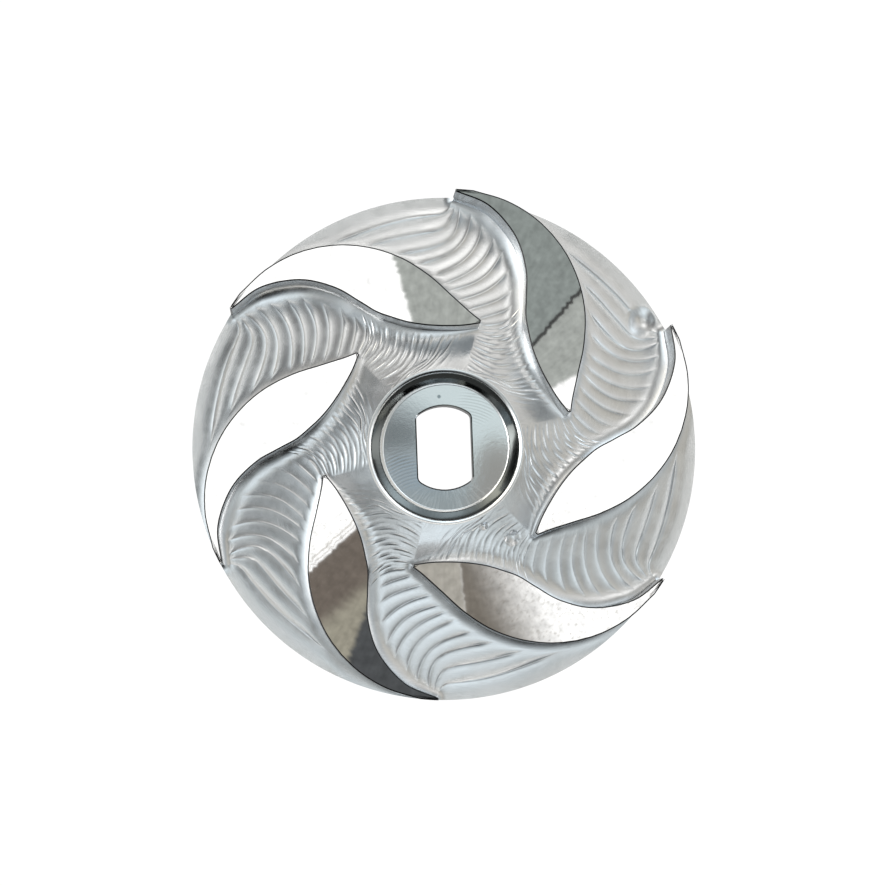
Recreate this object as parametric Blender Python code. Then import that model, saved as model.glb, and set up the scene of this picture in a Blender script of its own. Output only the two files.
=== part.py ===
"""Open water pump impeller: one aluminium disc milled with six S-shaped swept vanes.

Seen from the vane side, each vane starts blunt near the eye and sweeps out to a sharp tip on the
rim. The channels between the vanes have scooped floors that climb gently to a round hub lip.
Inside the lip a sloping wall leads down to a flat nut seat with a double-D drive hole.

The origin is the centre of the flat back face, on the shaft axis. +Z points to the vane side and
+Y runs along the long axis of the double-D hole.
"""
import math

import bmesh
import bpy
from mathutils import Vector
from mathutils.geometry import delaunay_2d_cdt

MM = 0.001

# Driving dimensions, in millimetres and degrees
OUTER_RADIUS = 30.0
VANE_TOP_HEIGHT = 11.0
RIM_HEIGHT = 2.2
BACK_CHAMFER = 0.3
VANE_COUNT = 6
FIRST_TIP_ANGLE = 86.0

LIP_RADIUS = 9.3
LIP_HEIGHT = 5.0
FLOOR_CLIMB_POWER = 1.6
LIP_ROUND = 0.2
SLOPE_TOP_RADIUS = 8.9
SLOPE_FOOT_RADIUS = 7.75
SEAT_RADIUS = 7.45
SEAT_HEIGHT = 3.0
SEAT_EDGE_STEP = 0.25

DRIVE_ACROSS_FLATS = 6.5
DRIVE_ACROSS_ROUNDS = 10.0
DRIVE_CORNER_RADIUS = 0.8

FILLET_RADIUS = 1.6
SCOOP_WIDTH = 4.0
SCOOP_RISE = 0.35

# The vane's two edges: degrees behind the outer tip, and distance from the shaft axis
OUTER_EDGE = (
    (4.0, 30.0), (12.0, 29.47), (20.0, 28.47), (28.0, 26.95), (36.0, 24.95), (44.0, 22.6),
    (52.0, 19.95), (60.0, 17.45), (68.0, 15.75), (73.4, 15.05),
)
INNER_EDGE = (
    (73.4, 14.65), (66.0, 13.98), (57.0, 13.78), (48.0, 14.1), (40.0, 14.95), (34.0, 16.2),
    (29.5, 17.6), (26.0, 19.7), (22.0, 22.6), (16.0, 25.75), (8.0, 28.4), (0.0, 29.7),
)

# Mesh fineness
CURVE_PIECES = 24
RIM_STEP = 2.0
EDGE_STEP = 1.3
FLOOR_STEP = 1.45
HUB_RING_POINTS = 90
FILLET_ROW_ANGLES = (30.0, 60.0, 90.0)
FILLET_ROW_TOLERANCE = 0.96
FILLET_ROW_MARGIN = 0.35
OPEN_FLOOR_MARGIN = 0.6
PLAN_TOLERANCE = 1e-5
SHARP_ANGLE = 32.0
DRIVE_ARC_STEPS = 10
DRIVE_CORNER_STEPS = 4

METAL_COLOUR = (0.78, 0.78, 0.77, 1.0)
METAL_ROUGHNESS = 0.32


def clear_scene():
    """Remove every object that the file holds."""
    for obj in list(bpy.data.objects):
        bpy.data.objects.remove(obj, do_unlink=True)


def polar(radius, degrees):
    """Return the plan point at a radius and an angle."""
    angle = math.radians(degrees)
    return Vector((radius * math.cos(angle), radius * math.sin(angle)))


def circle(radius, count, start=0.0):
    """Return evenly spaced plan points on a circle about the shaft axis."""
    return [polar(radius, start + 360.0 * index / count) for index in range(count)]


def smooth_curve(knots, step):
    """Return points about one step apart on the Catmull-Rom curve through the knots."""
    padded = [2 * knots[0] - knots[1], *knots, 2 * knots[-1] - knots[-2]]
    fine = []
    for before, start, end, after in zip(padded, padded[1:], padded[2:], padded[3:]):
        for index in range(CURVE_PIECES):
            t = index / CURVE_PIECES
            fine.append(0.5 * (
                2 * start
                + (end - before) * t
                + (2 * before - 5 * start + 4 * end - after) * t ** 2
                + (3 * start - before - 3 * end + after) * t ** 3
            ))
    fine.append(knots[-1])
    travelled = [0.0]
    for first, second in zip(fine, fine[1:]):
        travelled.append(travelled[-1] + (second - first).length)
    spans = max(2, round(travelled[-1] / step))
    points = [fine[0]]
    cursor = 0
    for index in range(1, spans):
        target = travelled[-1] * index / spans
        while travelled[cursor + 1] < target:
            cursor += 1
        share = (target - travelled[cursor]) / (travelled[cursor + 1] - travelled[cursor])
        points.append(fine[cursor].lerp(fine[cursor + 1], share))
    points.append(fine[-1])
    return points


def vane_outline(tip_angle):
    """Return the closed outline of one vane, and how many of its first points lie on the rim."""
    rim_points = round(OUTER_EDGE[0][0] / RIM_STEP)
    outline = [polar(OUTER_RADIUS, tip_angle - RIM_STEP * index) for index in range(rim_points)]
    for edge in (OUTER_EDGE, INNER_EDGE):
        knots = [polar(radius, tip_angle - behind) for behind, radius in edge]
        outline += smooth_curve(knots, EDGE_STEP)
    return outline, rim_points + 1


def double_d_outline():
    """Return the outline of the drive hole: two flats joined by two arcs, with round corners."""
    flat = DRIVE_ACROSS_FLATS / 2
    arc = DRIVE_ACROSS_ROUNDS / 2
    corner_x = flat - DRIVE_CORNER_RADIUS
    corner_y = math.sqrt((arc - DRIVE_CORNER_RADIUS) ** 2 - corner_x ** 2)
    turn = math.degrees(math.atan2(corner_y, corner_x))
    centre = Vector((corner_x, corner_y))
    quarter = [
        centre + polar(DRIVE_CORNER_RADIUS, turn * index / DRIVE_CORNER_STEPS)
        for index in range(DRIVE_CORNER_STEPS)
    ]
    half = quarter + [
        polar(arc, turn + (180.0 - 2 * turn) * index / DRIVE_ARC_STEPS)
        for index in range(DRIVE_ARC_STEPS + 1)
    ]
    half += [Vector((-point.x, point.y)) for point in reversed(quarter)]
    return half + [-point for point in half]


def distance_to_loop(point, loop):
    """Return the distance in plan from a point to a closed outline."""
    nearest = math.inf
    for start, end in zip(loop, loop[1:] + loop[:1]):
        along = end - start
        share = max(0.0, min(1.0, (point - start).dot(along) / along.length_squared))
        nearest = min(nearest, (point - start - along * share).length)
    return nearest


def inside_loop(point, loop):
    """Say whether a plan point lies inside a closed outline."""
    inside = False
    for start, end in zip(loop, loop[1:] + loop[:1]):
        if (start.y > point.y) != (end.y > point.y):
            crossing = start.x + (point.y - start.y) * (end.x - start.x) / (end.y - start.y)
            if point.x < crossing:
                inside = not inside
    return inside


def floor_height(point, wall_distance):
    """Return the channel floor's height: a climb to the hub, a scoop, and the wall's fillet."""
    climb = (OUTER_RADIUS - point.length) / (OUTER_RADIUS - LIP_RADIUS)
    height = RIM_HEIGHT + (LIP_HEIGHT - RIM_HEIGHT) * max(0.0, climb) ** FLOOR_CLIMB_POWER
    if wall_distance < SCOOP_WIDTH:
        height += SCOOP_RISE * (1.0 - wall_distance / SCOOP_WIDTH) ** 2
    if wall_distance < FILLET_RADIUS:
        reach = FILLET_RADIUS - wall_distance
        height += FILLET_RADIUS - math.sqrt(FILLET_RADIUS ** 2 - reach ** 2)
    return height


def fillet_points(outlines):
    """Return the plan points of the fillet rows that run round every vane."""
    points = []
    for row_angle in FILLET_ROW_ANGLES:
        offset = FILLET_RADIUS * (1.0 - math.cos(math.radians(row_angle)))
        for outline in outlines:
            for index, corner in enumerate(outline):
                along = outline[(index + 1) % len(outline)] - outline[index - 1]
                point = corner + Vector((-along.y, along.x)).normalized() * offset
                clear = min(distance_to_loop(point, other) for other in outlines)
                on_row = clear > FILLET_ROW_TOLERANCE * offset
                if on_row and keeps_off_circles(point, FILLET_ROW_MARGIN):
                    points.append(point)
    return points


def keeps_off_circles(point, margin):
    """Say whether a plan point is inside the rim and outside the hub lip, with a margin."""
    return LIP_RADIUS + margin < point.length < OUTER_RADIUS - margin


def open_floor_points(outlines):
    """Return the plan points of the channel floors, clear of the fillets."""
    points = []
    rings = round((OUTER_RADIUS - LIP_RADIUS) / FLOOR_STEP)
    for ring in range(1, rings):
        radius = LIP_RADIUS + (OUTER_RADIUS - LIP_RADIUS) * ring / rings
        count = VANE_COUNT * round(math.tau * radius / FLOOR_STEP / VANE_COUNT)
        stagger = 180.0 / count * (ring % 2)
        for point in circle(radius, count, FIRST_TIP_ANGLE + stagger):
            if any(inside_loop(point, outline) for outline in outlines):
                continue
            clear = min(distance_to_loop(point, outline) for outline in outlines)
            if clear > FILLET_RADIUS + OPEN_FLOOR_MARGIN:
                points.append(point)
    return points


def add_loop(bm, points, height):
    """Add a ring of vertices at one height."""
    return [bm.verts.new((point.x, point.y, height)) for point in points]


def add_band(bm, first, second):
    """Join two rings of the same number of vertices with quads."""
    count = len(first)
    for index in range(count):
        following = (index + 1) % count
        bm.faces.new((first[index], first[following], second[following], second[index]))


def fill_between(bm, outer, inner):
    """Fill the flat ring between two closed loops of vertices."""
    edges = []
    for loop in (outer, inner):
        for index, vertex in enumerate(loop):
            following = loop[(index + 1) % len(loop)]
            edges.append(bm.edges.get((vertex, following)) or bm.edges.new((vertex, following)))
    bmesh.ops.triangle_fill(bm, use_beauty=True, edges=edges)


def add_floor(bm, rim, lip, vanes):
    """Add the channel floors and return the vertices above the rim, the lip and the vane feet."""
    outlines = [outline for outline, rim_count in vanes]
    plan = list(rim) + list(lip)
    loops = [list(range(len(rim))), list(range(len(rim), len(plan)))]
    for outline, rim_count in vanes:
        loop = []
        for index, point in enumerate(outline):
            if index < rim_count:
                loop.append(min(range(len(rim)), key=lambda item: (rim[item] - point).length))
            else:
                loop.append(len(plan))
                plan.append(point)
        loops.append(loop)
    plan += fillet_points(outlines) + open_floor_points(outlines)
    edges = []
    for loop in loops:
        edges += list(zip(loop, loop[1:] + loop[:1]))
    points, _, triangles, sources, *_ = delaunay_2d_cdt(plan, edges, [], 0, PLAN_TOLERANCE)
    new_index = {source: index for index, group in enumerate(sources) for source in group}
    vertices = {}

    def vertex_at(index):
        """Return the floor vertex of a plan point, made when it is first used."""
        if index not in vertices:
            point = points[index]
            distance = min(distance_to_loop(point, outline) for outline in outlines)
            vertices[index] = bm.verts.new((point.x, point.y, floor_height(point, distance)))
        return vertices[index]

    for triangle in triangles:
        centre = sum((points[index] for index in triangle), Vector((0.0, 0.0))) / 3
        if centre.length < LIP_RADIUS * math.cos(math.pi / HUB_RING_POINTS):
            continue
        if any(inside_loop(centre, outline) for outline in outlines):
            continue
        bm.faces.new([vertex_at(index) for index in triangle])
    return [[vertices.get(new_index[item]) for item in loop] for loop in loops]


def add_vane(bm, outline, rim_count, feet):
    """Add one vane's flat top and its walls, and return the top vertices on the rim."""
    top = add_loop(bm, outline, VANE_TOP_HEIGHT)
    bm.faces.new(top)
    count = len(outline)
    for index in range(rim_count - 1, count):
        following = (index + 1) % count
        bm.faces.new((top[following], top[index], feet[index], feet[following]))
    return top[:rim_count]


def add_rim(bm, rim, floor_rim, vane_tops, lower):
    """Close the rim between the back's chamfer and the floor's edge or the vane tips."""
    count = len(rim)
    raised = {}
    for top in vane_tops:
        for vertex in top:
            place = Vector((vertex.co.x, vertex.co.y))
            raised[min(range(count), key=lambda item: (rim[item] - place).length)] = vertex
    for index in range(count):
        following = (index + 1) % count
        below = [lower[following], lower[index]]
        if index in raised and following in raised:
            left = [floor_rim[index]] if floor_rim[index] else []
            right = [floor_rim[following]] if floor_rim[following] else []
            bm.faces.new(left + [raised[index], raised[following]] + right + below)
        else:
            bm.faces.new([floor_rim[index], floor_rim[following]] + below)


def add_hub(bm, lip_ring, drive_top):
    """Add the rounded lip, the sloping wall and the flat nut seat round the drive hole."""
    profile = (
        (LIP_RADIUS - LIP_ROUND, LIP_HEIGHT),
        (SLOPE_TOP_RADIUS, LIP_HEIGHT - LIP_ROUND),
        (SLOPE_FOOT_RADIUS, SEAT_HEIGHT + SEAT_EDGE_STEP),
        (SEAT_RADIUS, SEAT_HEIGHT),
    )
    ring = lip_ring
    for radius, height in profile:
        following = add_loop(bm, circle(radius, HUB_RING_POINTS, FIRST_TIP_ANGLE), height)
        add_band(bm, ring, following)
        ring = following
    fill_between(bm, ring, drive_top)


def build_impeller_mesh():
    """Build the whole impeller as one closed mesh."""
    bm = bmesh.new()
    rim = circle(OUTER_RADIUS, round(360.0 / RIM_STEP), FIRST_TIP_ANGLE)
    lip = circle(LIP_RADIUS, HUB_RING_POINTS, FIRST_TIP_ANGLE)
    tip_angles = [FIRST_TIP_ANGLE + 360.0 * index / VANE_COUNT for index in range(VANE_COUNT)]
    vanes = [vane_outline(angle) for angle in tip_angles]
    floor_rim, lip_ring, *feet = add_floor(bm, rim, lip, vanes)
    vane_tops = [
        add_vane(bm, outline, rim_count, foot)
        for (outline, rim_count), foot in zip(vanes, feet)
    ]
    drive = double_d_outline()
    drive_top = add_loop(bm, drive, SEAT_HEIGHT)
    drive_bottom = add_loop(bm, drive, 0.0)
    add_band(bm, drive_top, drive_bottom)
    add_hub(bm, lip_ring, drive_top)
    chamfer_top = add_loop(bm, rim, BACK_CHAMFER)
    back_edge = add_loop(bm, [point * (1 - BACK_CHAMFER / OUTER_RADIUS) for point in rim], 0.0)
    add_rim(bm, rim, floor_rim, vane_tops, chamfer_top)
    add_band(bm, chamfer_top, back_edge)
    fill_between(bm, back_edge, drive_bottom)
    bmesh.ops.triangulate(bm, faces=bm.faces[:])
    bmesh.ops.scale(bm, vec=Vector((MM, MM, MM)), verts=bm.verts[:])
    bmesh.ops.recalc_face_normals(bm, faces=bm.faces[:])
    mesh = bpy.data.meshes.new("impeller")
    bm.to_mesh(mesh)
    bm.free()
    mesh.shade_smooth()
    mesh.set_sharp_from_angle(angle=math.radians(SHARP_ANGLE))
    return mesh


def machined_aluminium():
    """Return the satin finish that the cutters leave on the aluminium."""
    material = bpy.data.materials.new("machined_aluminium")
    material.use_nodes = True
    shader = material.node_tree.nodes["Principled BSDF"]
    shader.inputs["Base Color"].default_value = METAL_COLOUR
    shader.inputs["Metallic"].default_value = 1.0
    shader.inputs["Roughness"].default_value = METAL_ROUGHNESS
    return material


def main():
    """Model the impeller."""
    clear_scene()
    impeller = bpy.data.objects.new("impeller", build_impeller_mesh())
    impeller.data.materials.append(machined_aluminium())
    bpy.context.scene.collection.objects.link(impeller)


main()
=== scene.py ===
"""Visual model of an open water pump impeller milled from solid aluminium.

The channel floors carry the ridges that the cutter passes leave, so the floor mesh follows those
passes: its rows run along each pass from a vane's leading wall to the next vane's outer wall.
Lengths are in millimetres until the mesh is made, and in the frame's metres after that.
"""
import math

import bmesh
import bpy
import numpy as np
from mathutils import Matrix, Vector
from mathutils.geometry import tessellate_polygon


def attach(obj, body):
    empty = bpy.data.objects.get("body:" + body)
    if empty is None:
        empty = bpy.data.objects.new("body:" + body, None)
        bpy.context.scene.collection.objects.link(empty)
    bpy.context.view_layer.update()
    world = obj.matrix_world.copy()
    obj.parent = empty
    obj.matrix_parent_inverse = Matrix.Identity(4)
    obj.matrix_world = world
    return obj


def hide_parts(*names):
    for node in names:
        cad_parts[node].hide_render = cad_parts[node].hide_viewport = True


MM = 0.001

OUTER_RADIUS = 30.0
VANE_TOP_HEIGHT = 11.0
RIM_HEIGHT = 2.2
BACK_CHAMFER = 0.3
VANE_COUNT = 6
VANE_PITCH = 60.0
FIRST_TIP_ANGLE = 86.0
LIP_RADIUS = 9.3
LIP_HEIGHT = 5.0
FLOOR_CLIMB_POWER = 1.6
SEAT_HEIGHT = 3.0
SEAT_OFFSET = 0.14
# The hub's rings from the lip inward, as radius and height: rounded lip, sloping wall, edge ring
LIP_PROFILE = ((LIP_RADIUS, LIP_HEIGHT), (9.16, 4.98), (9.02, 4.93), (8.88, 4.85), (8.76, 4.74))
SLOPE_PROFILE = ((8.66, 4.6), (7.8, 3.38), (7.74, 3.28))
EDGE_RING_PROFILE = ((7.66, 3.2), (7.5, 3.19), (7.44, 3.15), (7.42, SEAT_HEIGHT))
EDGE_RING_SHIFTED_FROM = 1
# Sweep of the floor up to a vane: millimetres past the inner tip, width and rise of the sweep
WALL_SWEEPS = (
    (-6.0, 2.0, 0.26), (-1.5, 1.2, 0.18), (0.0, 1.0, 0.16), (2.5, 1.5, 0.28), (7.0, 2.3, 0.55),
    (26.0, 2.5, 0.62), (31.0, 1.4, 0.3),
)
SWEEP_POWER = 2.5
SWEEP_ENDS_AT_LIP = 1.5
DRIVE_ACROSS_FLATS = 6.5
DRIVE_ACROSS_ROUNDS = 10.0
DRIVE_CORNER_RADIUS = 0.8
EDGE_BREAK = 0.15

# The vane's two edges: degrees behind the outer tip, and distance from the shaft axis
OUTER_EDGE = (
    (4.0, 30.0), (12.0, 29.47), (20.0, 28.47), (28.0, 26.95), (36.0, 24.95), (44.0, 22.6),
    (52.0, 19.95), (60.0, 17.45), (68.0, 15.75), (73.4, 15.05),
)
LEADING_EDGE = (
    (0.0, 29.7), (8.0, 28.4), (16.0, 25.75), (22.0, 22.6), (26.0, 19.7), (29.5, 17.6),
    (34.0, 16.2), (40.0, 14.95), (48.0, 14.1), (57.0, 13.78), (66.0, 13.98), (73.4, 14.65),
)
RIM_SPAN_OF_TIP = 4.0
INNER_TIP_BEHIND = 73.4
INNER_TIP_RADIUS = 14.65

# Ridges between the cutter passes. Each starts this far along the leading wall and ends this far
# before the next vane's inner tip, with the turn and reach of the curve at either end.
RIDGES = (
    (0.0, 25.5, 45.0, 0.2, 5.0, 0.95),
    (0.5, 18.5, 46.0, 0.4, -6.0, 0.85),
    (0.8, 15.0, 62.0, 0.45, -27.0, 0.65),
    (2.4, 11.4, 48.0, 0.45, -34.0, 0.5),
    (3.8, 8.4, 42.0, 0.45, -30.0, 0.45),
    (6.0, 7.0, 38.0, 0.45, -29.0, 0.4),
    (8.2, 6.0, 30.0, 0.45, -29.0, 0.5),
    (11.0, 4.4, 22.0, 0.4, -24.0, 0.45),
    (13.2, 2.6, 26.0, 0.4, -16.0, 0.5),
    (14.8, 0.8, 30.0, 0.45, -14.0, 0.55),
    (16.6, 0.0, 25.0, 0.45, -28.0, 0.55),
)
# Rows of floor points across a pass, as shares of its width
PASS_ROWS = (0.02, 0.09, 0.25, 0.5, 0.75, 0.91, 0.98)
PASS_EDGES = (0.02, 0.98)
RIM_PASS_ROWS = (0.02, 0.06, 0.13, 0.22, 0.32, 0.43, 0.54, 0.65, 0.76, 0.86, 0.94, 0.98)
CUTTER_RADIUS = 2.1
DEEPEST_PASS = 0.07
USUAL_PASS_WIDTH = 2.0
WIDE_PASS_SHARE = 1.7
CUSP_SHARE = 0.35
CUSP_POWER = 10
# Where the passes run out at a wall, as shares of the sweep's width
PASSES_RUN_OUT = (0.35, 1.0)
FINE_PASSES_RUN_OUT = (0.1, 0.5)
CAP_ROWS = 3
SEAM_ROWS = 64
LIP_ROWS = 36
RIM_TIP_POINTS = 5
SEAM_SPREAD = 1.3
# Fine passes near the hub: rows in each, and the curve's turn and reach at either end
FINE_PASS_ROWS = 5
FINE_LEAVE = (30.0, 0.42)
FINE_ARRIVE = (-32.0, 0.5)
FINE_STRAIGHTENING = 2.2
FINE_TO_SEAM = (0.55, 1.0)
LIP_CLEARANCE = 0.25
FINE_CUTTER_RADIUS = 0.7
FINE_WIDTH_SHARE = 1.25
FINE_RIDGE_HEIGHT = 0.038
FINE_FADE_AT_END = 0.15
FINE_FADE_AT_LIP = 0.25
# How the fine ridges' height varies: middle, swing, and turns by pass and along a pass
FINE_UNEVENNESS = (0.7, 0.5, 2.4, 9.0)
WALL_COLUMNS = (0.0, 0.02, 0.06, 0.15, 0.3, 0.45, 0.65, 0.9, 1.2, 1.6)
COLUMN_COUNT = 65
WALL_LEVELS = (0.0, 0.3, 0.65, 1.0)
# Plunge marks: place in plan, radius and depth
PITS = ((24.3, 14.5, 1.65, 0.32), (7.7, -11.3, 0.9, 0.2), (4.3, -9.7, 0.5, 0.12))
PIT_SIDE_SLOPE = 1.5
PIT_REACH = 1.35
SEAM_CREST = 0.05
SEAM_CREST_WIDTH = 1.2
SEAM_CREST_POWER = 1.5
SEAM_CREST_FROM_LIP = 3.0
SEAM_CREST_TO_TIP = 2.0
SHARP_ANGLE = 38.0
WELD_DISTANCE = 0.002
SHORTEST_EDGE = 0.0001
# Smaller faces, in square millimetres, keep out of their neighbours' shading
SLIVER_AREA = 0.0006

# Camera, as fitted to the photograph
CAMERA_TILT = 4.06
CAMERA_LEANS_TO = 58.0
CAMERA_ROLL = 2.0
CAMERA_PLACE = (-0.491, 0.0585, 450.0)
CAMERA_LENS = 156.33
SENSOR_WIDTH = 36.0
NEAREST_SEEN = 0.01
FARTHEST_SEEN = 20.0

# Finish of the metal: noise scales in waves a metre, and shares of the bump's height
NOISE_SPAN = (0.3, 0.7)
CLOUD_SCALE = 260.0
GRAIN_SCALE = 3500.0
SWELL_SCALE = 700.0
GRAIN_SHARE = 0.6
SWELL_SHARE = 1.5
SHINIER = 0.05
DULLER = 0.07
# Curved seat marks: their centre, pitch, and the place that they are seen round
SEAT_MARKS = ((2.0, -2.0, 0.36, 4.0, 4.9), (-3.0, -8.5, 0.4, -5.4, -2.6))
SEAT_MARK_REACH = (1.2, 2.8)
SEAT_MARK_WOBBLE = 2.5
# Colour share in the low sides of the marks, a painted shade in their grooves
SEAT_MARK_SHADE = 0.85
SEAT_BUMP = 0.0001
SCRATCH_CENTRE = 2.0
SCRATCH_LINES = (-5.2, -4.2)
# Painted shade of a small pit on the seat, drawn as a dark dot: place, radius and the radius where its soft
# edge ends
SEAT_PIT_SHADE = (-0.45, 6.1, 0.12, 0.3)
PIT_SHADE_COLOUR = (0.3, 0.33, 0.34, 1.0)

WARM = (1.05, 1.0, 0.9)
PLAIN = (1.0, 1.0, 1.0)
COOL = (0.93, 1.01, 1.05)
BLUE = (0.88, 1.0, 1.1)
# Soft lights all round: degrees off the zenith, direction, brightness, tightness and tint
SOFT_LIGHTS = (
    (0.0, 0.0, 0.9, 80.0, COOL),
    (22.0, 0.0, 0.4, 60.0, WARM),
    (22.0, 30.0, 0.25, 60.0, WARM),
    (22.0, 60.0, 0.3, 60.0, PLAIN),
    (22.0, 86.0, 1.4, 90.0, PLAIN),
    (22.0, 240.0, 0.25, 60.0, WARM),
    (12.0, 262.0, 0.3, 90.0, BLUE),
    (22.0, 266.0, 0.8, 60.0, BLUE),
    (22.0, 300.0, 0.7, 80.0, COOL),
    (30.0, 170.0, 0.7, 60.0, COOL),
    (38.0, 322.0, 0.6, 50.0, COOL),
    (36.0, 40.0, 0.6, 50.0, PLAIN),
    (42.0, 0.0, 0.35, 25.0, BLUE),
    (42.0, 90.0, 0.2, 25.0, WARM),
    (42.0, 135.0, 0.5, 25.0, PLAIN),
    (42.0, 180.0, 0.8, 25.0, BLUE),
    (42.0, 225.0, 0.4, 25.0, COOL),
    (68.0, 0.0, 2.0, 20.0, PLAIN),
    (68.0, 45.0, 3.0, 20.0, BLUE),
    (68.0, 90.0, 2.0, 20.0, BLUE),
    (68.0, 135.0, 3.0, 20.0, WARM),
    (68.0, 180.0, 6.0, 20.0, PLAIN),
)
AMBIENT = 0.01
BACKDROP = (0.93, 0.93, 0.93, 1.0)
# The floor: its size in metres, brightness as seen and as light, and distance below the part
FLOOR_SIZE = 6.0
FLOOR_BRIGHTNESS = 1.05
FLOOR_LIGHT = 0.25
FLOOR_GAP = 0.05
CARD_WHITE = 1.25
LEAST_RISE = 0.02
HATCH_ANGLE = 41.0
HATCH_COLOUR = (0.3, 0.27, 0.22, 1.0)
GROOVE_SHIFT = 0.011
STREAK_LEVELS = (0.9, 1.1)
MOTTLE_LEVELS = (0.8, 1.22)
# Distances from the axis where the seat's picture gives way to the tops', and the tops' to the studio
SEAT_TO_TOPS = (9.0, 11.0)
CARD_TO_STUDIO = (31.0, 70.0)
# Grey reflections over the faced tops and the seat. Each is bounded by lines (point in mm,
# direction in degrees, softness in mm) and lies on the left of every one of them.
SOUTH_OF_HUB = (0.0, -8.0, 180.0, 1.0)
BETWEEN_D_AND_E = (-6.5, -14.0)
DARK_SHAPES = (
    ((0.0, 0.0, 26.0, 0.3), (0.0, 0.0, 284.0, 0.3), (19.5, 0.0, 90.0, 1.0), (0.4, 0.42, 0.4)),
    ((0.0, 0.0, 47.0, 0.1), (0.5, 30.0, -69.7, 0.3), (0.27, 0.3, 0.29)),
    (
        (0.16, -0.16, 47.0, 0.06), (-0.16, 0.16, 227.0, 0.06), (8.0, 0.0, -90.0, 0.5),
        (0.05, 0.05, 0.05),
    ),
    ((-0.26, 0.3, 221.0, 0.04), (-0.2, 0.23, 41.0, 0.04), SOUTH_OF_HUB, (0.3, 0.27, 0.24)),
    ((-0.6, 0.7, 221.0, 0.05), (-0.5, 0.58, 41.0, 0.05), SOUTH_OF_HUB, (0.55, 0.52, 0.48)),
    ((0.0, 0.0, 221.0, 0.12), (*BETWEEN_D_AND_E, 115.0, 0.3), (0.165, 0.14, 0.12)),
    ((-9.0, -15.5, -142.0, 1.2), (*BETWEEN_D_AND_E, 115.0, 0.3), (0.34, 0.32, 0.26)),
    ((-10.3, -19.4, -111.8, 0.4), (*BETWEEN_D_AND_E, 115.0, 0.3), (0.08, 0.085, 0.09)),
    ((*BETWEEN_D_AND_E, -65.0, 0.3), (0.0, 0.0, 94.0, 0.2), SOUTH_OF_HUB, (0.42, 0.4, 0.36)),
    ((0.0, 0.0, 274.0, 0.2), (7.5, -18.0, 112.0, 5.0), SOUTH_OF_HUB, (0.2, 0.18, 0.155)),
)
SEAT_TINT = (0.78, 0.9, 0.92)
SEAT_SHAPES = (
    ((-1.8, 0.0, 80.0, 0.8), (-2.5, 4.0, 150.0, 1.2), (0.4, 0.46, 0.48)),
    ((-2.5, 1.8, 155.0, 0.5), (-2.5, 0.3, 12.0, 0.5), (-2.0, 0.0, 90.0, 0.5), (0.17, 0.2, 0.21)),
    ((-2.0, -1.8, 190.0, 0.6), (1.5, -5.0, 100.0, 1.5), (0.36, 0.46, 0.54)),
    ((0.0, -4.8, 180.0, 0.8), (0.36, 0.42, 0.44)),
    ((2.8, -4.0, -95.0, 0.7), (5.4, 0.8, 226.0, 0.25), (5.4, 0.8, 144.0, 0.25), (0.34, 0.34, 0.32)),
)

SLOTS = ("channel", "wall", "top", "hub", "seat", "rim", "edge", "bead")
FOOT_SLOTS = {SLOTS.index("channel"), SLOTS.index("wall")}

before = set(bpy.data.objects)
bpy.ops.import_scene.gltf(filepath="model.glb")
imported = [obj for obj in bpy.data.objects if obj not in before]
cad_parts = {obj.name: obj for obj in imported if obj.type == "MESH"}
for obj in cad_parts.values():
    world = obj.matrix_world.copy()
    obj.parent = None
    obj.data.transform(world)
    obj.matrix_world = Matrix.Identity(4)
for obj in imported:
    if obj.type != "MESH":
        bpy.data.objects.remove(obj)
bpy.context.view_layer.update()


def polar(radius, degrees):
    """Return plan points at a radius and an angle."""
    angle = np.radians(degrees)
    return np.stack([radius * np.cos(angle), radius * np.sin(angle)], -1)


def smooth_curve(knots, pieces=40):
    """Return fine points on the Catmull-Rom curve through the knots."""
    knots = np.asarray(knots, float)
    padded = np.vstack([2 * knots[0] - knots[1], knots, 2 * knots[-1] - knots[-2]])
    t = np.linspace(0, 1, pieces, endpoint=False)[:, None]
    rows = []
    for before, start, end, after in zip(padded, padded[1:], padded[2:], padded[3:]):
        rows.append(0.5 * (
            2 * start
            + (end - before) * t
            + (2 * before - 5 * start + 4 * end - after) * t ** 2
            + (3 * start - before - 3 * end + after) * t ** 3
        ))
    return np.vstack(rows + [knots[-1:]])


class Path:
    """A plan curve that is read at a distance along it."""

    def __init__(self, points):
        self.points = np.asarray(points, float)
        steps = np.linalg.norm(np.diff(self.points, axis=0), axis=1)
        self.travelled = np.concatenate([[0.0], np.cumsum(steps)])
        self.length = self.travelled[-1]

    def at(self, distance):
        """Return the points at these distances."""
        return np.stack(
            [np.interp(distance, self.travelled, self.points[:, axis]) for axis in (0, 1)], -1
        )


def bezier(start, end, turn_start, reach_start, turn_end, reach_end, count=120):
    """Return points of the curve that leaves and meets its chord at these turns."""
    chord = end - start
    length = np.linalg.norm(chord)
    direction = math.atan2(chord[1], chord[0])
    leave = direction + math.radians(turn_start)
    arrive = direction + math.radians(turn_end)
    first = start + reach_start * length * np.array([math.cos(leave), math.sin(leave)])
    second = end - reach_end * length * np.array([math.cos(arrive), math.sin(arrive)])
    t = np.linspace(0, 1, count)[:, None]
    return (
        (1 - t) ** 3 * start + 3 * (1 - t) ** 2 * t * first
        + 3 * (1 - t) * t ** 2 * second + t ** 3 * end
    )


def turned(points, degrees):
    """Return the points turned about the shaft axis."""
    angle = math.radians(degrees)
    matrix = np.eye(points.shape[-1])
    matrix[0, :2] = math.cos(angle), -math.sin(angle)
    matrix[1, :2] = math.sin(angle), math.cos(angle)
    return points @ matrix.T


def smoothstep(value, low, high):
    """Return 0 below low, 1 above high and a smooth climb between."""
    t = np.clip((value - low) / (high - low), 0, 1)
    return t * t * (3 - 2 * t)


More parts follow.
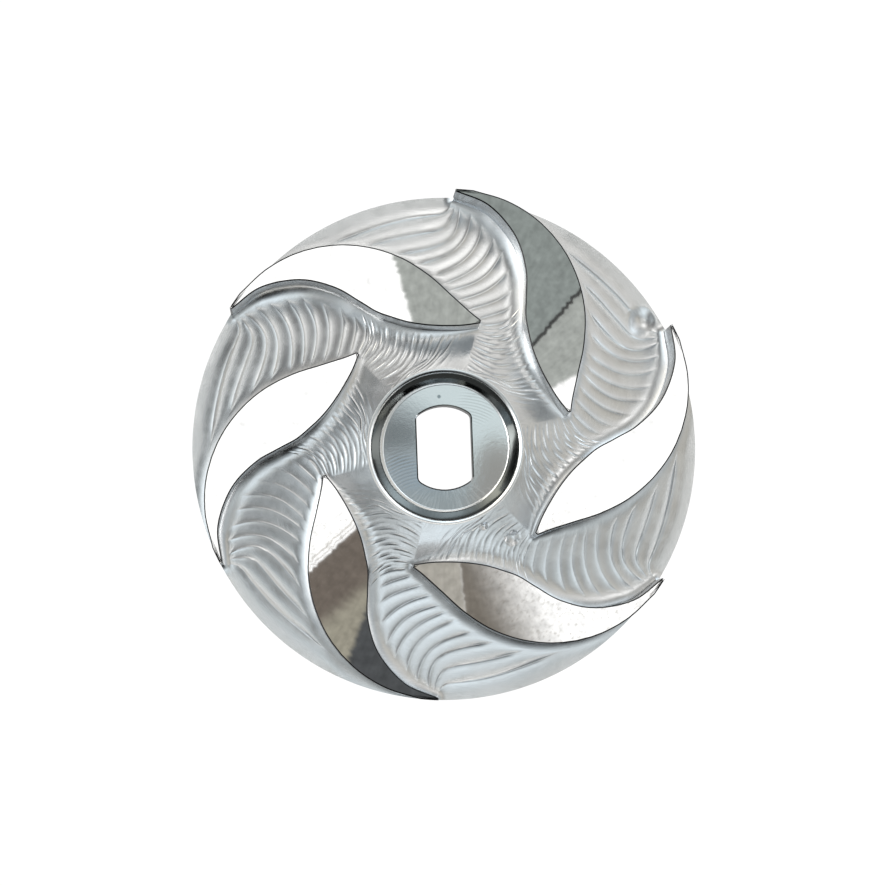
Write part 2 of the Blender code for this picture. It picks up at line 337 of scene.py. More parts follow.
def distance_to_loop(points, loop, marks):
    """Return each plan point's distance to a closed outline, and the mark nearest to it."""
    ahead = np.roll(loop, -1, axis=0) - loop
    mark_steps = np.append(np.diff(marks), 0.0)
    length = np.maximum((ahead ** 2).sum(-1), 1e-12)
    nearest = np.full(len(points), np.inf)
    mark = np.zeros(len(points))
    for start, step, squared, at, mark_step in zip(loop, ahead, length, marks, mark_steps):
        offset = points - start
        share = np.clip(offset @ step / squared, 0, 1)
        gap = ((offset - share[:, None] * step) ** 2).sum(-1)
        closer = gap < nearest
        nearest = np.where(closer, gap, nearest)
        mark = np.where(closer, at + share * mark_step, mark)
    return np.sqrt(nearest), mark


def column_distances(length):
    """Return the columns' distances along a pass, close together at both walls."""
    near = np.array(WALL_COLUMNS)
    middle = np.linspace(near[-1], length - near[-1], COLUMN_COUNT - 2 * len(near) + 2)[1:-1]
    return np.concatenate([near, middle, length - near[::-1]])


def seam_distances(length):
    """Return distances along the seam from a vane's inner tip to the hub lip."""
    share = np.linspace(0, 1, COLUMN_COUNT)
    return length * share ** SEAM_SPREAD


def channel_plan():
    """Return the rows of the first channel's floor, with the pass and the place across it."""
    leading = Path(smooth_curve([polar(r, FIRST_TIP_ANGLE - b) for b, r in LEADING_EDGE]))
    outer = Path(smooth_curve(
        [polar(r, FIRST_TIP_ANGLE + VANE_PITCH - b) for b, r in OUTER_EDGE]
    ))
    rim = Path(polar(
        OUTER_RADIUS,
        np.linspace(FIRST_TIP_ANGLE, FIRST_TIP_ANGLE + VANE_PITCH - RIM_SPAN_OF_TIP, 200),
    ))
    lines = [rim.at(column_distances(rim.length))]
    for along, before, *shape in RIDGES:
        curve = Path(bezier(leading.at(along), outer.at(outer.length - before), *shape))
        lines.append(curve.at(column_distances(curve.length)))
    share = np.linspace(0, 1, COLUMN_COUNT)[:, None]
    tip_end = Path(np.stack([polar(OUTER_RADIUS, FIRST_TIP_ANGLE), leading.at(0.0)]))
    rows, numbers, places = [], [], []

    def add(row, number, place):
        rows.append(row)
        numbers.append(number)
        places.append(place)

    add(lines[0], 0, 0.0)
    ends = [0.0] + [outer.length - ridge[1] for ridge in RIDGES]
    starts = [0.0] + [ridge[0] for ridge in RIDGES]
    for number, (first, second) in enumerate(zip(lines, lines[1:])):
        for place in RIM_PASS_ROWS if number == 0 else PASS_ROWS:
            row = (1 - place) * first + place * second
            if number == 0:
                start = tip_end.at(place * tip_end.length)
            else:
                start = leading.at((1 - place) * starts[number] + place * starts[number + 1])
            end = outer.at((1 - place) * ends[number] + place * ends[number + 1])
            add(row + (1 - share) * (start - row[0]) + share * (end - row[-1]), number, place)
    wall_rows = len(rows)

    last = len(RIDGES)
    seam_angle = FIRST_TIP_ANGLE + VANE_PITCH - INNER_TIP_BEHIND
    seam_length = INNER_TIP_RADIUS - LIP_RADIUS
    cap_start = outer.at(outer.length)
    inner_corner = polar(INNER_TIP_RADIUS, seam_angle)
    fine_ends = [cap_start + (inner_corner - cap_start) * step / CAP_ROWS for step in range(CAP_ROWS)]
    fine_ends += list(polar(INNER_TIP_RADIUS - seam_distances(seam_length), seam_angle))
    fine_ends += list(polar(
        LIP_RADIUS, seam_angle - VANE_PITCH * np.arange(1, LIP_ROWS + 1) / LIP_ROWS
    ))
    fine_count = len(fine_ends)
    for index, end in enumerate(fine_ends):
        t = index / (fine_count - 1)
        start = leading.at(RIDGES[-1][0] + (leading.length - RIDGES[-1][0]) * t)
        bend = min(1.0, FINE_STRAIGHTENING * (1 - t))
        leave, leave_reach = FINE_LEAVE
        arrive, arrive_reach = FINE_ARRIVE
        curve = Path(bezier(start, end, leave * bend, leave_reach, arrive * bend, arrive_reach))
        blend = smoothstep(t, *FINE_TO_SEAM)
        distances = (
            (1 - blend) * column_distances(curve.length) + blend * seam_distances(curve.length)
        )
        points = curve.at(distances)
        radius = np.linalg.norm(points, axis=1)
        least = LIP_RADIUS + LIP_CLEARANCE * (curve.length - distances)
        points *= np.maximum(1, least / radius)[:, None]
        add(points, last + index // FINE_PASS_ROWS, (index % FINE_PASS_ROWS) / FINE_PASS_ROWS)
    return np.array(rows), np.array(numbers), np.array(places), wall_rows


def vane_outline():
    """Return the first vane's closed outline in plan, and the distance past its inner tip."""
    leading = smooth_curve([polar(r, FIRST_TIP_ANGLE - b) for b, r in LEADING_EDGE])
    outer = smooth_curve([polar(r, FIRST_TIP_ANGLE - b) for b, r in OUTER_EDGE])
    loop = np.vstack([polar(OUTER_RADIUS, np.array([FIRST_TIP_ANGLE])), outer, leading[::-1]])
    run = np.concatenate([[0], np.cumsum(np.linalg.norm(np.diff(loop, axis=0), axis=1))])
    return loop, run - run[len(outer)]


def floor_heights(plan, numbers, places):
    """Return the heights of the floor grid: climb, sweeps at the walls, seam crests and passes."""
    flat = plan.reshape(-1, 2)
    radius = np.linalg.norm(flat, axis=1)
    outline, marks = vane_outline()
    leading_wall, leading_mark = distance_to_loop(flat, outline, marks)
    outer_wall, outer_mark = distance_to_loop(flat, turned(outline, VANE_PITCH), marks)
    climb = np.clip((OUTER_RADIUS - radius) / (OUTER_RADIUS - LIP_RADIUS), 0, 1)
    height = RIM_HEIGHT + (LIP_HEIGHT - RIM_HEIGHT) * climb ** FLOOR_CLIMB_POWER
    at, widths, rises = np.array(WALL_SWEEPS).T
    to_lip = smoothstep(radius, LIP_RADIUS, LIP_RADIUS + SWEEP_ENDS_AT_LIP)
    clear, fine_clear = np.ones(len(flat)), np.ones(len(flat))
    for distance, mark in ((leading_wall, leading_mark), (outer_wall, outer_mark)):
        width = np.interp(mark, at, widths)
        share = np.clip(1 - distance / width, 0, 1)
        height += np.interp(mark, at, rises) * share ** SWEEP_POWER * to_lip
        clear *= smoothstep(distance / width, *PASSES_RUN_OUT)
        fine_clear *= smoothstep(distance / width, *FINE_PASSES_RUN_OUT)

    angle = np.degrees(np.arctan2(flat[:, 1], flat[:, 0]))
    for seam in (FIRST_TIP_ANGLE - INNER_TIP_BEHIND, FIRST_TIP_ANGLE + VANE_PITCH - INNER_TIP_BEHIND):
        away = np.abs((angle - seam + 180) % 360 - 180)
        side = radius * np.radians(np.minimum(away, VANE_PITCH))
        from_lip = smoothstep(radius, LIP_RADIUS, LIP_RADIUS + SEAM_CREST_FROM_LIP)
        to_tip = smoothstep(INNER_TIP_RADIUS - radius, 0.0, SEAM_CREST_TO_TIP)
        crest = np.clip(1 - side / SEAM_CREST_WIDTH, 0, 1) ** SEAM_CREST_POWER
        height += SEAM_CREST * from_lip * to_tip * crest

    count = plan.shape[1]
    number = np.repeat(numbers, count)
    place = np.repeat(places, count)
    across = np.tile(np.linspace(0, 1, count), len(numbers))
    coarse = number < len(RIDGES)
    side = np.where(number == 0, np.maximum(0, 2 * place - 1), np.abs(2 * place - 1))
    width = np.zeros(plan.shape[:2])
    for step in range(numbers.max()):
        rows = np.flatnonzero(numbers == step)
        width[rows] = np.linalg.norm(plan[rows[-1]] - plan[rows[0]], axis=1)
    width = width.ravel()
    arch = (1 - CUSP_SHARE) * side ** 2 + CUSP_SHARE * side ** CUSP_POWER
    deepest = DEEPEST_PASS * np.clip(width / USUAL_PASS_WIDTH, 1, WIDE_PASS_SHARE)
    depth = np.minimum(width ** 2 / (8 * CUTTER_RADIUS), deepest)
    height += np.where(coarse, depth * arch * clear, 0)
    fine_number = (number - len(RIDGES)) / max(1, numbers.max() - len(RIDGES))
    fade = smoothstep(1 - across, 0.0, FINE_FADE_AT_END) * smoothstep(1 - fine_number, 0.0, FINE_FADE_AT_LIP)
    middle, swing, by_pass, by_place = FINE_UNEVENNESS
    uneven = middle + swing * np.sin(number * by_pass + across * by_place)
    depth = np.minimum((width * FINE_WIDTH_SHARE) ** 2 / (8 * FINE_CUTTER_RADIUS), FINE_RIDGE_HEIGHT)
    height += np.where(coarse, 0, depth * side ** 2 * fine_clear * fade * uneven)
    return height.reshape(plan.shape[:2])


class Shell:
    """Vertices, faces, finish and surface coordinates that are gathered before the mesh is made."""

    def __init__(self):
        self.crests = []
        self.points = []
        self.faces = []
        self.slots = []
        self.uvs = []
        self.count = 0

    def add_points(self, points, uvs=None):
        """Add points of any grid shape, and return their numbers in that shape."""
        shape = points.shape[:-1]
        flat = points.reshape(-1, 3)
        self.points.append(flat)
        self.uvs.append(np.zeros((len(flat), 2)) if uvs is None else uvs.reshape(-1, 2))
        numbers = np.arange(self.count, self.count + len(flat)).reshape(shape)
        self.count += len(flat)
        return numbers

    def add_grid(self, numbers, slot):
        """Add the quads of a grid of vertex numbers."""
        quads = np.stack(
            [numbers[:-1, :-1], numbers[:-1, 1:], numbers[1:, 1:], numbers[1:, :-1]], -1
        ).reshape(-1, 4)
        self.faces += quads.tolist()
        self.slots += [SLOTS.index(slot)] * len(quads)

    def add_face(self, numbers, slot):
        """Add one face."""
        self.faces.append([int(number) for number in numbers])
        self.slots.append(SLOTS.index(slot))


def inset(loop, distance):
    """Return a closed plan loop moved inward by a distance."""
    along = np.roll(loop, -1, axis=0) - np.roll(loop, 1, axis=0)
    along /= np.maximum(np.linalg.norm(along, axis=1), 1e-9)[:, None]
    normal = np.stack([-along[:, 1], along[:, 0]], -1)
    following = np.roll(loop, -1, axis=0)
    area = (loop[:, 0] * following[:, 1] - following[:, 0] * loop[:, 1]).sum()
    return loop + normal * distance * np.sign(area)


def double_d_outline(steps=12, corner_steps=5):
    """Return the drive hole's outline, two flats joined by two arcs, as plan points."""
    flat = DRIVE_ACROSS_FLATS / 2
    arc = DRIVE_ACROSS_ROUNDS / 2
    corner_x = flat - DRIVE_CORNER_RADIUS
    corner_y = math.sqrt((arc - DRIVE_CORNER_RADIUS) ** 2 - corner_x ** 2)
    turn = math.degrees(math.atan2(corner_y, corner_x))
    corner = np.array([corner_x, corner_y]) + polar(
        DRIVE_CORNER_RADIUS, turn * np.arange(corner_steps) / corner_steps
    )
    top = polar(arc, turn + (180 - 2 * turn) * np.arange(steps + 1) / steps)
    half = np.vstack([corner, top, corner[::-1] * (-1, 1)])
    return np.vstack([half, -half])


def add_ring_fill(shell, outer, inner, slot):
    """Fill the flat ring between two closed loops of vertex numbers."""
    points = np.vstack(shell.points)
    loops = [[Vector(points[number]) for number in loop] for loop in (outer, inner)]
    numbers = list(outer) + list(inner)
    for triangle in tessellate_polygon(loops):
        shell.add_face([numbers[item] for item in triangle], slot)


def add_crescent(shell, numbers, turn, loop):
    """Fill a vane's flat top with triangles from its outer side to its leading side."""
    sides = (numbers[:turn], numbers[turn:][::-1])
    spans = []
    for points in (loop[:turn], loop[turn:][::-1]):
        travelled = np.concatenate([[0], np.cumsum(np.linalg.norm(np.diff(points, axis=0), axis=1))])
        spans.append(travelled / travelled[-1])
    first, second = 0, 0
    while first < len(sides[0]) - 1 or second < len(sides[1]) - 1:
        ahead = spans[0][first + 1] if first < len(sides[0]) - 1 else 2.0
        other = spans[1][second + 1] if second < len(sides[1]) - 1 else 2.0
        if ahead <= other:
            shell.add_face((sides[0][first], sides[0][first + 1], sides[1][second]), "top")
            first += 1
        else:
            shell.add_face((sides[0][first], sides[1][second + 1], sides[1][second]), "top")
            second += 1


def with_height(plan, height):
    """Return plan points with a height added."""
    return np.concatenate([plan, np.broadcast_to(height, plan.shape[:-1])[..., None]], -1)


def with_pits(points):
    """Sink the plunge marks of an end mill into floor points."""
    points = points.copy()
    for x, y, radius, depth in PITS:
        away = np.linalg.norm(points[..., :2] - (x, y), axis=-1)
        if away.min() < radius / 2:
            level = points[..., 2][away < radius].mean() - depth
            sides = level + depth * (away / radius) ** 2 + PIT_SIDE_SLOPE * np.maximum(0, away - radius)
            points[..., 2] = np.where(
                away < PIT_REACH * radius, np.minimum(points[..., 2], sides), points[..., 2]
            )
    return points


def build_shell():
    """Gather the whole impeller."""
    shell = Shell()
    plan, numbers, places, wall_rows = channel_plan()
    heights = floor_heights(plan, numbers, places)
    lip_start = wall_rows + CAP_ROWS + SEAM_ROWS
    along = np.cumsum(np.linalg.norm(np.diff(plan, axis=1), axis=2), axis=1)
    across = np.cumsum(np.linalg.norm(np.diff(plan, axis=0), axis=2), axis=0)
    pass_uv = np.stack([np.pad(along, ((0, 0), (1, 0))), np.pad(across, ((1, 0), (0, 0)))], -1)
    crest_rows = [
        row for row in range(1, len(plan))
        if places[row] in (PASS_EDGES if numbers[row] < len(RIDGES) else (0,))
    ]
    rim_tip = np.linspace(FIRST_TIP_ANGLE - RIM_SPAN_OF_TIP, FIRST_TIP_ANGLE, RIM_TIP_POINTS)
    rim_ring, lip_ring = [], []
    for index in range(VANE_COUNT):
        angle = VANE_PITCH * index
        grid = shell.add_points(with_pits(with_height(turned(plan, angle), heights)), pass_uv)
        shell.add_grid(grid, "channel")
        shell.crests += [grid[row] for row in crest_rows]

        # The vane: its outline starts on the rim, runs along the outer wall and back
        outer_plan = turned(plan[:wall_rows + CAP_ROWS + 1, -1], angle - VANE_PITCH)
        outer_foot = heights[:wall_rows + CAP_ROWS + 1, -1]
        leading_plan = turned(plan[::-1, 0], angle)[1:]
        leading_foot = heights[::-1, 0][1:]
        tip_plan = polar(OUTER_RADIUS, rim_tip + angle)[::-1][1:-1]
        tip_foot = np.full(len(tip_plan), leading_foot[-1])
        loop = np.vstack([outer_plan, leading_plan, tip_plan])
        foot = np.concatenate([outer_foot, leading_foot, tip_foot])
        run = np.concatenate([[0], np.cumsum(np.linalg.norm(np.diff(loop, axis=0), axis=1))])
        top = VANE_TOP_HEIGHT - EDGE_BREAK
        levels = [foot + (top - foot) * share for share in WALL_LEVELS]
        strips = [with_height(loop, level) for level in levels]
        uv = [np.stack([run, level], -1) for level in levels]
        strips.append(with_height(inset(loop, EDGE_BREAK), VANE_TOP_HEIGHT))
        uv.append(np.stack([run, np.full(len(run), VANE_TOP_HEIGHT)], -1))
        strips = shell.add_points(np.array(strips), np.array(uv))
        closed = np.concatenate([strips, strips[:, :1]], 1)
        shell.add_grid(closed[:-1], "wall")
        # The broken edge takes a near-black colour, a painted shade that outlines each top
        shell.add_grid(closed[-2:], "edge")
        add_crescent(shell, strips[-1], len(outer_plan), loop)

        tip_ring = strips[0][-len(tip_plan):][::-1]
        rim_ring += list(tip_ring) + list(grid[0])
        lip_ring.append(grid[lip_start:, -1])

    # The rim's side and the back
    ring_points = np.vstack(shell.points)[rim_ring]
    rim_plan = ring_points[:, :2]
    upper = shell.add_points(ring_points)
    lower = shell.add_points(with_height(rim_plan, BACK_CHAMFER))
    back = shell.add_points(with_height(rim_plan * (1 - BACK_CHAMFER / OUTER_RADIUS), 0.0))
    rings = np.array([upper, lower, back])
    shell.add_grid(np.concatenate([rings, rings[:, :1]], 1), "rim")
    drive = double_d_outline()
    drive_levels = (0.0, EDGE_BREAK, SEAT_HEIGHT - EDGE_BREAK, SEAT_HEIGHT)
    grown = inset(drive, -EDGE_BREAK)
    drive_rings = shell.add_points(np.array([
        with_height(grown if level in (0.0, SEAT_HEIGHT) else drive, level) for level in drive_levels
    ]))
    shell.add_grid(np.concatenate([drive_rings, drive_rings[:, :1]], 1), "seat")
    add_ring_fill(shell, back, drive_rings[0], "rim")

    # The hub: rounded lip, sloping wall, bright edge ring and flat seat. The sloping wall's near-black
    # colour is painted shade.
    seam = FIRST_TIP_ANGLE - INNER_TIP_BEHIND + VANE_PITCH
    ring_angles = seam - VANE_PITCH * np.arange(LIP_ROWS * VANE_COUNT) / LIP_ROWS
    profile = LIP_PROFILE + SLOPE_PROFILE + EDGE_RING_PROFILE
    slope = len(LIP_PROFILE)
    edge_ring = slope + len(SLOPE_PROFILE)
    rings = np.array([with_height(polar(radius, ring_angles), height) for radius, height in profile])
    rings[edge_ring + EDGE_RING_SHIFTED_FROM:, :, 0] += SEAT_OFFSET
    rings = shell.add_points(rings)
    rings = np.concatenate([rings, rings[:, :1]], 1)
    shell.add_grid(rings[:slope], "bead")
    shell.add_grid(rings[slope - 1:edge_ring], "hub")
    shell.add_grid(rings[edge_ring - 1:], "bead")
    add_ring_fill(shell, rings[-1][:-1], drive_rings[-1], "seat")
    return shell


def make_piece(shell, name, materials):
    """Turn the gathered shell into one welded object in metres."""
    mesh = bpy.data.meshes.new(name)
    points = np.vstack(shell.points) * MM
    mesh.from_pydata(points.tolist(), [], shell.faces)
    mesh.polygons.foreach_set("material_index", np.array(shell.slots, np.int32))
    layer = mesh.uv_layers.new(name="passes")
    loops = np.zeros(len(mesh.loops), np.int32)
    mesh.loops.foreach_get("vertex_index", loops)
    layer.data.foreach_set("uv", (np.vstack(shell.uvs)[loops] * MM).ravel())
    for material in materials:
        mesh.materials.append(material)
    crest = mesh.attributes.new("crest", "INT", "POINT")
    crest_numbers = np.zeros(len(points), np.int32)
    for index, row in enumerate(shell.crests):
        crest_numbers[row] = index + 1
    crest.data.foreach_set("value", crest_numbers)
    bm = bmesh.new()
    bm.from_mesh(mesh)
    bmesh.ops.remove_doubles(bm, verts=bm.verts[:], dist=WELD_DISTANCE * MM)
    bmesh.ops.dissolve_degenerate(bm, edges=bm.edges[:], dist=SHORTEST_EDGE * MM)
    bmesh.ops.recalc_face_normals(bm, faces=bm.faces[:])
    layer = bm.verts.layers.int["crest"]
    sharp = math.radians(SHARP_ANGLE)
    for face in bm.faces:
        face.smooth = face.calc_area() > SLIVER_AREA * MM * MM
    for edge in bm.edges:
        first, second = (vertex[layer] for vertex in edge.verts)
        at_foot = {face.material_index for face in edge.link_faces} == FOOT_SLOTS
        on_crest = first and first == second
        edge.smooth = edge.calc_face_angle(0.0) < sharp and not on_crest and not at_foot
    bm.to_mesh(mesh)
    bm.free()
    mesh.attributes.remove(mesh.attributes["crest"])
    piece = bpy.data.objects.new(name, mesh)
    bpy.context.scene.collection.objects.link(piece)
    return piece


class Nodes:
    """A short way to write node trees."""

    def __init__(self, tree):
        self.tree = tree

    def new(self, kind, settings=None, **inputs):
        """Add a node, with its settings and its inputs by name or number."""
        node = self.tree.nodes.new(kind)
        for key, value in (settings or {}).items():
            setattr(node, key, value)
        for key, value in inputs.items():
            by_number = key[0] == "i" and key[1:].isdigit()
            socket = node.inputs[int(key[1:]) if by_number else key.replace("_", " ")]
            if isinstance(value, bpy.types.NodeSocket):
                self.tree.links.new(value, socket)
            else:
                socket.default_value = value
        return node

    def math(self, operation, first, second=0.0):
        """Combine two values."""
        return self.new("ShaderNodeMath", {"operation": operation}, i0=first, i1=second).outputs[0]

    def add(self, first, second):
        """Add two values."""
        return self.math("ADD", first, second)

    def times(self, first, second):
        """Multiply two values."""
        return self.math("MULTIPLY", first, second)

    def ramp(self, value, low, high, to_low=0.0, to_high=1.0, smooth=True):
        """Map a value from one range to another, held at the ends."""
        node = self.new(
            "ShaderNodeMapRange", {"interpolation_type": "SMOOTHSTEP" if smooth else "LINEAR"},
            Value=value, i1=low, i2=high, i3=to_low, i4=to_high,
        )
        return node.outputs[0]

    def mix(self, factor, first, second):
        """Mix two colours."""
        node = self.new("ShaderNodeMix", {"data_type": "RGBA"}, i0=factor, i6=first, i7=second)
        return node.outputs[2]

    def vector(self, x, y=0.0):
        """Join two values to a vector."""
        return self.new("ShaderNodeCombineXYZ", None, i0=x, i1=y).outputs[0]

    def scaled(self, vector, scale):
        """Scale a vector by three factors."""
        node = self.new("ShaderNodeVectorMath", {"operation": "MULTIPLY"}, i0=vector, i1=scale)
        return node.outputs[0]

    def scaled_evenly(self, vector, scale):
        """Scale a vector or colour by one value."""
        node = self.new("ShaderNodeVectorMath", {"operation": "SCALE"}, i0=vector, Scale=scale)
        return node.outputs[0]

    def apart(self, vector, x, y, z):
        """Return the distance in metres to a place in millimetres."""
        node = self.new(
            "ShaderNodeVectorMath", {"operation": "DISTANCE"}, i0=vector, i1=(x * MM, y * MM, z * MM)
        )
        return node.outputs["Value"]

    def noise(self, vector, scale, detail=2.0, rough=0.5):
        """Return a noise value, mostly between 0.3 and 0.7."""
        node = self.new(
            "ShaderNodeTexNoise", None, Vector=vector, Scale=scale, Detail=detail, Roughness=rough
        )
        return node.outputs[0]

    def spread(self, noise, to_low=0.0, to_high=1.0, smooth=True):
        """Spread a noise value over a range."""
        return self.ramp(noise, *NOISE_SPAN, to_low, to_high, smooth)


def metal(name, colour, roughness):
    """Return a material with a metallic shader, and what its nodes need."""
    material = bpy.data.materials.new(name)
    material.use_nodes = True
    nodes = Nodes(material.node_tree)
    shader = material.node_tree.nodes["Principled BSDF"]
    shader.inputs["Metallic"].default_value = 1.0
    shader.inputs["Base Color"].default_value = (*colour, 1.0)
    shader.inputs["Roughness"].default_value = roughness
    return material, nodes, shader


def passes_metal(name, light, dark, roughness, across, along, bump):
    """Return milled metal with fine streaks along the cutter's passes."""
    material, nodes, shader = metal(name, light, roughness)
    links = material.node_tree.links
    uv = nodes.new("ShaderNodeUVMap", {"uv_map": "passes"}).outputs[0]
    place = nodes.new("ShaderNodeTexCoord").outputs["Object"]
    streaks = nodes.noise(nodes.scaled(uv, (along, across, 1.0)), 1.0, 3.0, 0.6)
    cloud = nodes.noise(place, CLOUD_SCALE, 3.0, 0.55)
    grain = nodes.noise(place, GRAIN_SCALE, 2.0, 0.6)
    swell = nodes.noise(place, SWELL_SCALE, 2.0, 0.5)
    tint = nodes.spread(nodes.add(nodes.times(streaks, 0.5), nodes.times(cloud, 0.5)))
    links.new(nodes.mix(tint, (*dark, 1.0), (*light, 1.0)), shader.inputs["Base Color"])
    rough = nodes.spread(cloud, roughness - SHINIER, roughness + DULLER)
    links.new(rough, shader.inputs["Roughness"])
    height = nodes.add(streaks, nodes.times(grain, GRAIN_SHARE))
    height = nodes.add(height, nodes.times(swell, SWELL_SHARE))
    node = nodes.new("ShaderNodeBump", None, Strength=1.0, Distance=bump * MM, Height=height)
    links.new(node.outputs[0], shader.inputs["Normal"])
    return material


def seat_metal(name, colour, roughness):
    """Return end-milled metal with two sets of curved marks whose low sides are darkened as painted shade,
    radial scratches, and a dark dot of painted shade for a small pit.
    """
    material, nodes, shader = metal(name, colour, roughness)
    links = material.node_tree.links
    place = nodes.new("ShaderNodeTexCoord").outputs["Object"]
    near, far = (distance * MM for distance in SEAT_MARK_REACH)
    marks = 0.0
    for x, y, pitch, near_x, near_y in SEAT_MARKS:
        turns = nodes.times(nodes.apart(place, x, y, SEAT_HEIGHT), 2 * math.pi / (pitch * MM))
        wobble = nodes.times(nodes.noise(place, 500.0, 2.0), SEAT_MARK_WOBBLE)
        waves = nodes.math("SINE", nodes.add(turns, wobble))
        away = nodes.apart(place, near_x, near_y, SEAT_HEIGHT)
        marks = nodes.add(marks, nodes.times(waves, nodes.ramp(away, near, far, 1.4, 0.0)))
    grain = nodes.noise(place, 2500.0, 3.0, 0.6)
    height = nodes.add(marks, nodes.times(grain, 5.0))

    parts = nodes.new("ShaderNodeSeparateXYZ", None, i0=place).outputs
    bearing = nodes.math("ARCTAN2", nodes.add(parts[1], SCRATCH_CENTRE * MM), parts[0])
    fan = nodes.vector(nodes.times(bearing, 14.0), nodes.times(parts[1], 350.0))
    scratch = nodes.ramp(nodes.noise(fan, 1.0, 3.0, 0.7), 0.47, 0.6)
    low, high = (line * MM for line in SCRATCH_LINES)
    scratch = nodes.times(scratch, nodes.ramp(parts[1], low, high, 1.0, 0.0))

    # Painted shade: the curved marks turn darker where the bump is low, in the bottoms of their grooves
    groove_shade_colour = tuple(SEAT_MARK_SHADE * channel for channel in colour)
    tint = nodes.mix(nodes.ramp(marks, -1.2, 0.4), (*groove_shade_colour, 1.0), (*colour, 1.0))
    scratched = nodes.mix(0.25, tint, (0.4, 0.4, 0.4, 1.0))
    tint = nodes.mix(nodes.math("SUBTRACT", 1.0, scratch), tint, scratched)
    # Painted shade: a dark dot stands in for the shade in a small pit
    dot_x, dot_y, dot_radius, dot_edge = SEAT_PIT_SHADE
    beside = nodes.ramp(nodes.apart(place, dot_x, dot_y, SEAT_HEIGHT), dot_radius * MM, dot_edge * MM)
    tint = nodes.mix(beside, PIT_SHADE_COLOUR, tint)
    links.new(tint, shader.inputs["Base Color"])
    node = nodes.new("ShaderNodeBump", None, Strength=1.0, Distance=SEAT_BUMP * MM, Height=height)
    links.new(node.outputs[0], shader.inputs["Normal"])
    return material


def make_camera():
    """Add the camera at the photograph's viewing angle, and return its place in millimetres."""
    lean = math.radians(CAMERA_LEANS_TO)
    axis = Vector((-math.sin(lean), math.cos(lean), 0.0))
    tilt = Matrix.Rotation(math.radians(CAMERA_TILT), 3, axis)
    roll = Matrix.Rotation(math.radians(CAMERA_ROLL), 3, "Z")
    rotation = (tilt @ roll).transposed()
    data = bpy.data.cameras.new("camera")
    data.lens = CAMERA_LENS
    data.sensor_width = SENSOR_WIDTH
    data.sensor_fit = "HORIZONTAL"
    data.clip_start = NEAREST_SEEN
    data.clip_end = FARTHEST_SEEN
    camera = bpy.data.objects.new("camera", data)
    place = Vector((0.0, 0.0, VANE_TOP_HEIGHT)) + rotation @ Vector(CAMERA_PLACE)
    camera.matrix_world = Matrix.Translation(place * MM) @ rotation.to_4x4()
    bpy.context.scene.collection.objects.link(camera)
    bpy.context.scene.camera = camera
    return place


def glow(name, colour, seen, given):
    """Return a material that gives off light, with its brightness as seen and as it falls on the part."""
    material = bpy.data.materials.new(name)
    material.use_nodes = True
    tree = material.node_tree
    tree.nodes.clear()
    nodes = Nodes(tree)
    looked_at = nodes.new("ShaderNodeLightPath").outputs["Is Camera Ray"]
    strength = nodes.ramp(looked_at, 0.0, 1.0, given, seen, smooth=False)
    emission = nodes.new("ShaderNodeEmission", None, Color=(*colour, 1.0), Strength=strength)
    output = nodes.new("ShaderNodeOutputMaterial")
    tree.links.new(emission.outputs[0], output.inputs[0])
    return material


def make_floor():
    """Add the plain pale floor just below the part."""
    mesh = bpy.data.meshes.new("floor")
    half = FLOOR_SIZE / 2
    mesh.from_pydata(
        [(-half, -half, 0), (half, -half, 0), (half, half, 0), (-half, half, 0)], [], [(0, 1, 2, 3)]
    )
    mesh.materials.append(glow("pale_floor", (1.0, 1.0, 1.0), FLOOR_BRIGHTNESS, FLOOR_LIGHT))
    floor = bpy.data.objects.new("floor", mesh)
    floor.matrix_world = Matrix.Translation((0.0, 0.0, -FLOOR_GAP * MM))
    bpy.context.scene.collection.objects.link(floor)


def soft_light(nodes, direction):
    """Return the colour that the soft lights give together in a direction."""
    total = (AMBIENT, AMBIENT, AMBIENT)
    for lean, turn, level, tight, tint in SOFT_LIGHTS:
        side = polar(math.sin(math.radians(lean)), turn)
        aim = (side[0], side[1], math.cos(math.radians(lean)))
        facing = nodes.new(
            "ShaderNodeVectorMath", {"operation": "DOT_PRODUCT"}, i0=direction, i1=aim
        ).outputs["Value"]
        lobe = nodes.math("POWER", nodes.math("MAXIMUM", facing, 0.0), tight)
        shade = nodes.scaled_evenly(tuple(level * channel for channel in tint), lobe)
        total = nodes.new("ShaderNodeVectorMath", {"operation": "ADD"}, i0=total, i1=shade).outputs[0]
    return total


def left_of(nodes, x, y, line):
    """Return 1 on the left of a line through a point, seen along its direction."""
    point_x, point_y, angle, soft = line
    turn = math.radians(angle)
    offset = nodes.add(
        nodes.times(nodes.math("SUBTRACT", x, point_x), -math.sin(turn)),
        nodes.times(nodes.math("SUBTRACT", y, point_y), math.cos(turn)),
    )
    return nodes.ramp(offset, -soft, soft)


def laid_over(nodes, x, y, colour, shapes):
    """Lay reflected shapes over a colour."""
    for *lines, tint in shapes:
        mask = 1.0
        for line in lines:
            mask = nodes.times(mask, left_of(nodes, x, y, line))
        colour = nodes.mix(mask, colour, (*tint, 1.0))
    return colour


def hatched_white(nodes, x, y):
    """Return the white card's reflection, hatched by the facing marks to the south of the hub."""
    angle = math.radians(HATCH_ANGLE)
    across = nodes.add(nodes.times(x, -math.sin(angle)), nodes.times(y, math.cos(angle)))
    along = nodes.add(nodes.times(x, math.cos(angle)), nodes.times(y, math.sin(angle)))
    marks = nodes.vector(nodes.times(across, 9.0), nodes.times(along, 1.6))
    marks = nodes.ramp(nodes.noise(marks, 1.0, 2.0, 0.6), 0.56, 0.68)
    reach = nodes.times(nodes.ramp(across, 0.0, 9.0, 1.0, 0.3), left_of(nodes, x, y, SOUTH_OF_HUB))
    return nodes.mix(nodes.times(marks, reach), (CARD_WHITE, CARD_WHITE, CARD_WHITE, 1.0), HATCH_COLOUR)


